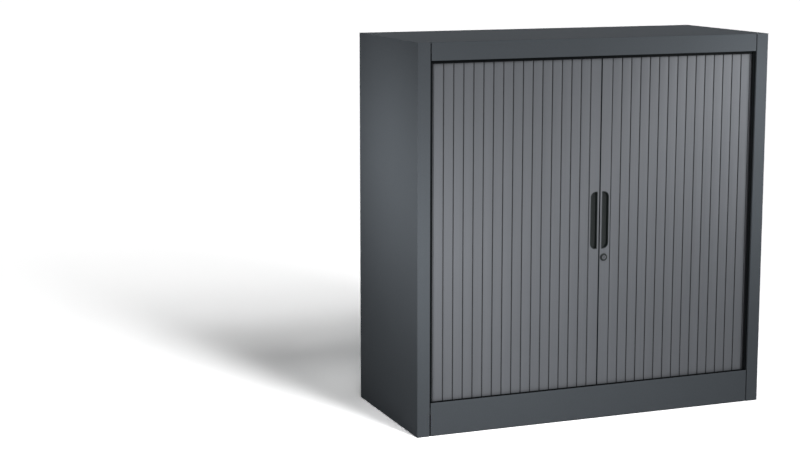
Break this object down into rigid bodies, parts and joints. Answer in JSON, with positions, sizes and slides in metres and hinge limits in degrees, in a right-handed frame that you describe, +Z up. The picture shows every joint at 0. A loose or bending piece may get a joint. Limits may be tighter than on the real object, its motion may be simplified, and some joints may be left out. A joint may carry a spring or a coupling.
{
  "type": "roll front tool cabinet",
  "caption": "Low steel cupboard with side-opening tambour curtains of upright slats, recessed grips, a cylinder lock, adjustable shelves and levelling feet.",
  "frame": {"origin": "on the floor under the middle of the cupboard", "axes": "+X to the right seen from the front, +Y from the front to the back, +Z up"},
  "size_m": [1, 0.42, 1],
  "materials": {
    "graphite_paint": "fine-texture powder coat",
    "inner_paint": "fine-texture powder coat, inside",
    "slat_plastic": "fine-grained extruded plastic",
    "black_plastic": "fine-grained moulding",
    "zinc_steel": "bright zinc",
    "chrome_lock": "satin nickel plate",
    "track_plastic": "moulded slide plastic",
    "cap_plastic": "moulded plastic"
  },
  "bodies": {
    "carcass": {"left_side_panel": "graphite_paint", "right_side_panel": "graphite_paint", "top_panel": "graphite_paint", "top_stiffener": "zinc_steel", "ceiling_panel": "inner_paint", "base_panel": "inner_paint", "plinth_panel": "graphite_paint", "back_panel": "graphite_paint", "rear_lining": "inner_paint", "rear_corner_strips": "inner_paint", "floor_panel": "inner_paint", "floor_rails": "inner_paint", "left_inner_side": "inner_paint", "right_inner_side": "inner_paint", "lower_left_track": "track_plastic", "upper_left_track": "track_plastic", "lower_right_track": "track_plastic", "upper_right_track": "track_plastic", "track_end_plugs": "track_plastic", "lower_shelf": "inner_paint", "upper_shelf": "inner_paint", "lower_shelf_clips": "zinc_steel", "upper_shelf_clips": "zinc_steel", "levelling_sleeves": "zinc_steel", "floor_hole_caps": "cap_plastic", "track_screws": "zinc_steel", "left_curtain": "slat_plastic", "right_curtain": "slat_plastic", "left_curtain_tail": "slat_plastic", "right_curtain_tail": "slat_plastic"},
    "left_shutter": {"left_leading_profile": "slat_plastic", "left_grip": "black_plastic", "left_glides": "track_plastic", "strike_plate": "zinc_steel"},
    "right_shutter": {"right_leading_profile": "slat_plastic", "right_grip": "black_plastic", "right_glides": "track_plastic", "lock_housing": "black_plastic", "lock_nut": "zinc_steel"},
    "lock": {"lock_plug": "chrome_lock", "lock_hook": "zinc_steel", "hook_screw": "zinc_steel"},
    "foot_front_left": {"levelling_foot_front_left": "black_plastic"},
    "foot_front_right": {"levelling_foot_front_right": "black_plastic"},
    "foot_rear_left": {"levelling_foot_rear_left": "black_plastic"},
    "foot_rear_right": {"levelling_foot_rear_right": "black_plastic"}
  },
  "joints": [
    {"name": "left_shutter_slide", "type": "slide", "parent": "carcass", "child": "left_shutter", "axis": [-1, 0, 0], "range_m": [0, 0.4352], "deforming": ["left_curtain"]},
    {"name": "right_shutter_slide", "type": "slide", "parent": "carcass", "child": "right_shutter", "axis": [1, 0, 0], "range_m": [0, 0.408], "deforming": ["right_curtain"]},
    {"name": "lock_turn", "type": "hinge", "parent": "right_shutter", "child": "lock", "pos_m": [0.0275, -0.198, 0.428], "axis": [0, 1, 0], "range_deg": [0, 90]},
    {"name": "foot_front_left_adjustment", "type": "slide", "parent": "carcass", "child": "foot_front_left", "axis": [0, 0, -1], "range_m": [0, 0.015]},
    {"name": "foot_front_right_adjustment", "type": "slide", "parent": "carcass", "child": "foot_front_right", "axis": [0, 0, -1], "range_m": [0, 0.015]},
    {"name": "foot_rear_left_adjustment", "type": "slide", "parent": "carcass", "child": "foot_rear_left", "axis": [0, 0, -1], "range_m": [0, 0.015]},
    {"name": "foot_rear_right_adjustment", "type": "slide", "parent": "carcass", "child": "foot_rear_right", "axis": [0, 0, -1], "range_m": [0, 0.015]}
  ]
}
